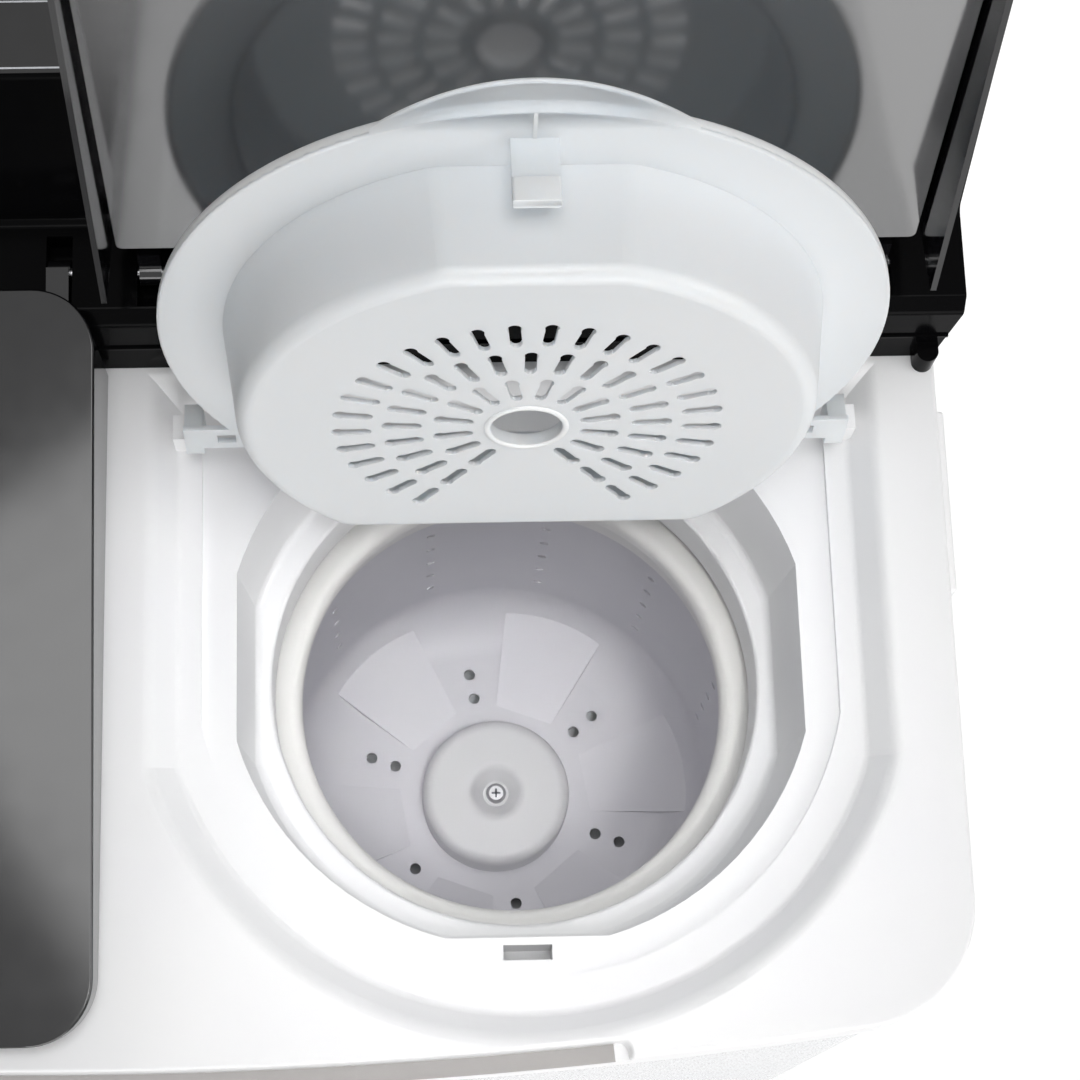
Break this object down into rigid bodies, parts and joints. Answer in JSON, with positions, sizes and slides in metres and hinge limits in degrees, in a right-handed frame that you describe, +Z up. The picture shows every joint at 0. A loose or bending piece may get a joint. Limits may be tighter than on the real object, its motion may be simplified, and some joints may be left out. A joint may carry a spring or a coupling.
{
  "type": "twin tub washing machine",
  "caption": "Top-loading twin tub washing machine with a wash tub, a spin basket under a smoked outer lid and a frosted perforated inner lid, and a black rear console.",
  "frame": {"origin": "on the floor under the middle of the machine's bounding box", "axes": "+X to the right as seen from the front, +Y to the rear, +Z up"},
  "size_m": [0.904, 0.532, 1.3063],
  "materials": {
    "deck_white": "moulded white polypropylene, satin gloss",
    "cabinet_white": "white moulded plastic cabinet",
    "base_grey": "grey moulded polypropylene",
    "console_black": "black gloss moulding",
    "panel_black": "black gloss fascia",
    "knob_silver": "silver painted plastic",
    "lid_smoke": "smoked gloss plastic",
    "inner_lid_frost": "frosted translucent polypropylene",
    "basket_grey": "grey polypropylene",
    "ring_white": "white moulded plastic",
    "cap_grey": "pale grey moulded plastic",
    "tub_white": "white polypropylene",
    "pulsator_blue": "pale blue plastic",
    "steel": "plain steel",
    "zinc": "zinc plated steel",
    "iron": "plain cast iron",
    "motor_paint": "dark painted aluminium motor can",
    "aluminium": "cast aluminium",
    "rubber": "black rubber",
    "inner_plastic": "dark grey plastic"
  },
  "bodies": {
    "cabinet": {"base_tray": "base_grey", "feet": "rubber", "cabinet_shell": "cabinet_white", "rear_cover": "base_grey", "rear_cover_screws": "zinc", "top_deck": "deck_white", "side_handles": "deck_white", "console_housing": "console_black", "control_panel": "panel_black", "wash_timer": "inner_plastic", "drain_selector": "inner_plastic", "spin_timer": "inner_plastic", "water_inlet": "inner_plastic", "lid_switch": "inner_plastic", "spin_lid_pins": "steel", "wash_lid_pins": "steel", "inner_lid_pins": "steel", "spin_outer_tub": "tub_white", "spin_bearing": "steel", "shaft_bellows": "rubber", "spin_motor": "motor_paint", "spin_motor_plate": "zinc", "motor_springs": "rubber", "brake_plate": "zinc", "wash_tub": "tub_white", "drain_grille": "tub_white", "wash_bearing_housing": "aluminium", "wash_motor": "motor_paint", "wash_motor_bracket": "zinc", "drive_belt": "rubber", "lint_filter_rails": "tub_white", "drain_valve": "inner_plastic", "wash_drain_pipe": "inner_plastic", "spin_drain_pipe": "inner_plastic", "drain_outlet": "inner_plastic", "cord_gland": "inner_plastic", "capacitor": "inner_plastic"},
    "spin_lid": {"spin_lid": "lid_smoke"},
    "inner_lid": {"spin_inner_lid": "inner_lid_frost"},
    "wash_lid": {"wash_lid": "lid_smoke"},
    "spin_rotor": {"spin_basket": "basket_grey", "balance_ring": "ring_white", "basket_cap": "cap_grey", "cap_screw": "zinc", "spin_shaft": "steel", "basket_hub": "aluminium", "brake_drum": "iron"},
    "brake_lever": {"brake_lever": "zinc"},
    "pulsator_rotor": {"pulsator": "pulsator_blue", "pulsator_shaft": "steel", "pulsator_screw": "zinc", "wash_pulley": "inner_plastic"},
    "wash_motor_rotor": {"motor_pulley": "aluminium", "wash_motor_shaft": "steel"},
    "wash_timer_dial": {"wash_timer_knob": "knob_silver"},
    "drain_dial": {"drain_selector_knob": "knob_silver"},
    "spin_timer_dial": {"spin_timer_knob": "knob_silver"},
    "lint_filter": {"lint_filter": "tub_white"},
    "drain_plunger": {"drain_plunger": "inner_plastic"}
  },
  "joints": [
    {"name": "spin_lid_hinge", "type": "hinge", "parent": "cabinet", "child": "spin_lid", "pos_m": [0.21, 0.162, 0.904], "axis": [-1, 0, 0], "range_deg": [-107, 0]},
    {"name": "inner_lid_hinge", "type": "hinge", "parent": "cabinet", "child": "inner_lid", "pos_m": [0.21, 0.09, 0.85], "axis": [-1, 0, 0], "range_deg": [-100.7, 0]},
    {"name": "wash_lid_hinge", "type": "hinge", "parent": "cabinet", "child": "wash_lid", "pos_m": [-0.222, 0.162, 0.904], "axis": [-1, 0, 0], "range_deg": [0, 107]},
    {"name": "spin_rotation", "type": "hinge", "parent": "cabinet", "child": "spin_rotor", "pos_m": [0.21, -0.034, 0.4], "axis": [0, 0, 1], "continuous": true},
    {"name": "brake_release", "type": "hinge", "parent": "cabinet", "child": "brake_lever", "pos_m": [0.282, -0.034, 0.214], "axis": [0, 0, 1], "range_deg": [0, 6]},
    {"name": "pulsator_rotation", "type": "hinge", "parent": "cabinet", "child": "pulsator_rotor", "pos_m": [-0.222, -0.052, 0.45], "axis": [0, 0, 1], "continuous": true},
    {"name": "wash_motor_rotation", "type": "hinge", "parent": "cabinet", "child": "wash_motor_rotor", "pos_m": [-0.07, 0.09, 0.33], "axis": [0, 0, 1], "continuous": true},
    {"name": "wash_timer_turn", "type": "hinge", "parent": "cabinet", "child": "wash_timer_dial", "pos_m": [-0.33, 0.245, 1.017], "axis": [0, 0.1414, -0.9899], "range_deg": [0, 330]},
    {"name": "drain_selector_turn", "type": "hinge", "parent": "cabinet", "child": "drain_dial", "pos_m": [-0.13, 0.245, 1.017], "axis": [0, 0.1414, -0.9899], "range_deg": [0, 90]},
    {"name": "spin_timer_turn", "type": "hinge", "parent": "cabinet", "child": "spin_timer_dial", "pos_m": [0.21, 0.245, 1.017], "axis": [0, 0.1414, -0.9899], "range_deg": [0, 330]},
    {"name": "lint_filter_lift", "type": "slide", "parent": "cabinet", "child": "lint_filter", "axis": [0, 0, 1], "range_m": [0, 0.09]},
    {"name": "drain_plunger_lift", "type": "slide", "parent": "cabinet", "child": "drain_plunger", "axis": [0, 0, 1], "range_m": [0, 0.014]}
  ],
  "couplings": [
    {"joint": "inner_lid_hinge", "follows": "spin_lid_hinge", "ratio": 0.94112},
    {"joint": "brake_release", "follows": "spin_lid_hinge", "ratio": -0.056075},
    {"joint": "wash_motor_rotation", "follows": "pulsator_rotation", "ratio": 3.7419},
    {"joint": "drain_selector_turn", "follows": "drain_plunger_lift", "rad_per_m": 112.2}
  ]
}
